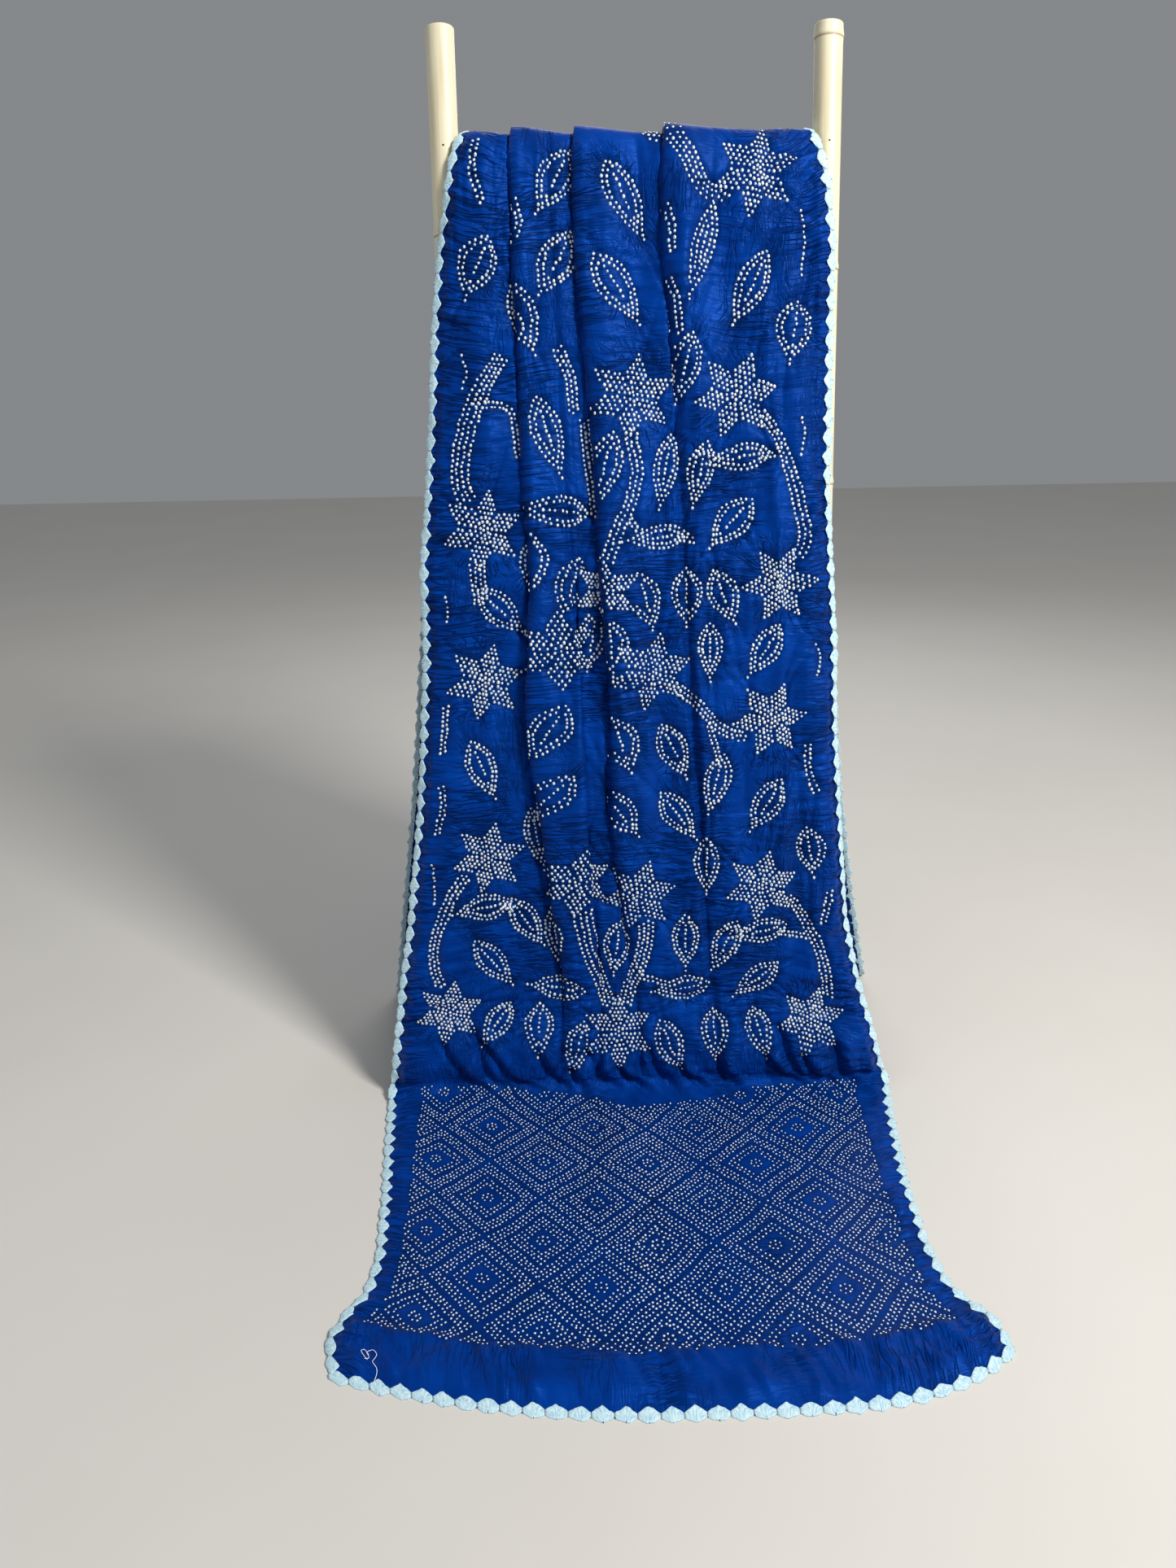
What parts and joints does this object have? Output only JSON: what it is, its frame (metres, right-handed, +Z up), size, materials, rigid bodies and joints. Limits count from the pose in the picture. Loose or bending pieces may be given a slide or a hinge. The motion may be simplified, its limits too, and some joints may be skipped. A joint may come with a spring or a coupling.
{
  "type": "bandhani cloth on leaning bamboo ladder",
  "caption": "Long tie-dyed silk cloth with ribbon edging, folded over the top rung of a leaning bamboo ladder and run out over the floor in front.",
  "frame": {"origin": "on the floor, under the middle of the object's outer box", "axes": "+X to the viewer's right, +Y away from the viewer, +Z up"},
  "size_m": [0.8792, 0.9786, 1.5201],
  "materials": {
    "silk": "satin",
    "ribbon": "satin",
    "bamboo": "satin"
  },
  "bodies": {
    "root": {"cloth": "silk", "trim_left": "ribbon", "trim_right": "ribbon", "trim_front": "ribbon", "trim_back": "ribbon", "pole_left": "bamboo", "pole_right": "bamboo", "rung_1": "bamboo", "rung_2": "bamboo", "rung_3": "bamboo", "rung_4": "bamboo", "rung_5": "bamboo"}
  },
  "joints": []
}
